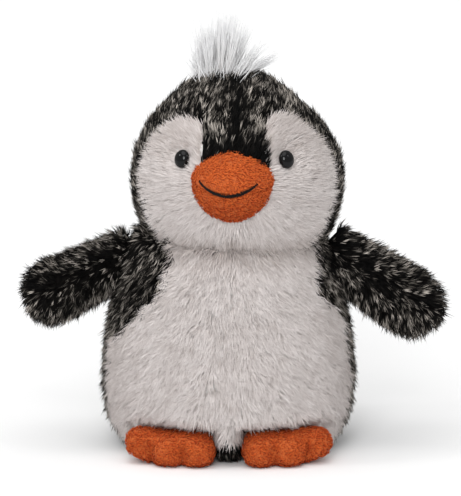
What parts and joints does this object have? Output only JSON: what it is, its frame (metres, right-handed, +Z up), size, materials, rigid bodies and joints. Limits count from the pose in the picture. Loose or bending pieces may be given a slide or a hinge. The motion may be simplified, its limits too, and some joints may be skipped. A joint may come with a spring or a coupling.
{
  "type": "plush penguin",
  "caption": "Small sitting plush penguin chick with frosted dark back, white belly and face, orange beak and feet, hair tuft and movable flippers, head and feet.",
  "frame": {"origin": "on the floor, under the middle of the body, at the middle of the flat base", "axes": "+Z up, the penguin faces -Y, its own left is at +X"},
  "size_m": [0.1872, 0.1192, 0.1913],
  "materials": {
    "frosted_plush": "long pile with pale tips",
    "white_plush": "dense soft pile",
    "orange_terry": "short looped pile",
    "white_hair": "long loose hair",
    "black_thread": "satin stitch",
    "polyester_filling": "loose fibre",
    "pouch_cloth": "plain weave",
    "pellets": "round pellets",
    "label_satin": "satin ribbon",
    "eye_plastic": "polished",
    "washer_plastic": "moulded"
  },
  "bodies": {
    "torso": {"belly_panel": "white_plush", "back_panel_right": "frosted_plush", "back_panel_left": "frosted_plush", "base_panel": "frosted_plush", "body_stuffing": "polyester_filling", "bean_pouch": "pouch_cloth", "bean_fill": "pellets", "care_label": "label_satin"},
    "neck": {"neck_stuffing": "polyester_filling"},
    "head": {"hood_right": "frosted_plush", "hood_left": "frosted_plush", "face_right": "white_plush", "face_left": "white_plush", "head_stuffing": "polyester_filling", "hair_tuft": "white_hair", "beak_upper": "orange_terry", "beak_lower": "orange_terry", "beak_stuffing": "polyester_filling", "mouth_stitch": "black_thread", "eye_right": "eye_plastic", "eye_left": "eye_plastic", "eye_washer_right": "washer_plastic", "eye_washer_left": "washer_plastic"},
    "flipper_right_root": {"flipper_right_gusset": "frosted_plush"},
    "flipper_right": {"flipper_right_front": "frosted_plush", "flipper_right_back": "frosted_plush", "flipper_right_stuffing": "polyester_filling"},
    "flipper_left_root": {"flipper_left_gusset": "frosted_plush"},
    "flipper_left": {"flipper_left_front": "frosted_plush", "flipper_left_back": "frosted_plush", "flipper_left_stuffing": "polyester_filling"},
    "foot_right": {"foot_right_upper": "orange_terry", "foot_right_sole": "orange_terry", "foot_right_stuffing": "polyester_filling"},
    "foot_left": {"foot_left_upper": "orange_terry", "foot_left_sole": "orange_terry", "foot_left_stuffing": "polyester_filling"}
  },
  "joints": [
    {"name": "head_turn", "type": "hinge", "parent": "torso", "child": "neck", "pos_m": [0.004, 0, 0.122], "axis": [0, 0, 1], "range_deg": [-25, 25], "stiffness_Nm_per_rad": 0.08},
    {"name": "head_nod", "type": "hinge", "parent": "neck", "child": "head", "pos_m": [0.004, 0, 0.122], "axis": [1, 0, 0], "range_deg": [-10, 10], "stiffness_Nm_per_rad": 0.2},
    {"name": "flipper_right_sweep", "type": "hinge", "parent": "torso", "child": "flipper_right_root", "pos_m": [-0.0525, 0, 0.0835], "axis": [0, 0, 1], "range_deg": [-24, 15], "stiffness_Nm_per_rad": 0.05},
    {"name": "flipper_right_flap", "type": "hinge", "parent": "flipper_right_root", "child": "flipper_right", "pos_m": [-0.0525, 0, 0.0835], "axis": [-0.4067, 0.9135, 0], "range_deg": [-23, 60], "stiffness_Nm_per_rad": 0.05},
    {"name": "flipper_left_sweep", "type": "hinge", "parent": "torso", "child": "flipper_left_root", "pos_m": [0.0525, 0, 0.0835], "axis": [0, 0, -1], "range_deg": [-20, 20], "stiffness_Nm_per_rad": 0.05},
    {"name": "flipper_left_flap", "type": "hinge", "parent": "flipper_left_root", "child": "flipper_left", "pos_m": [0.0525, 0, 0.0835], "axis": [-0.1392, -0.9903, 0], "range_deg": [-17, 65], "stiffness_Nm_per_rad": 0.05},
    {"name": "foot_right_flex", "type": "hinge", "parent": "torso", "child": "foot_right", "pos_m": [-0.023, -0.034, 0.002], "axis": [-1, 0, 0], "range_deg": [0, 15], "stiffness_Nm_per_rad": 0.03},
    {"name": "foot_left_flex", "type": "hinge", "parent": "torso", "child": "foot_left", "pos_m": [0.023, -0.034, 0.002], "axis": [-1, 0, 0], "range_deg": [0, 15], "stiffness_Nm_per_rad": 0.03}
  ]
}
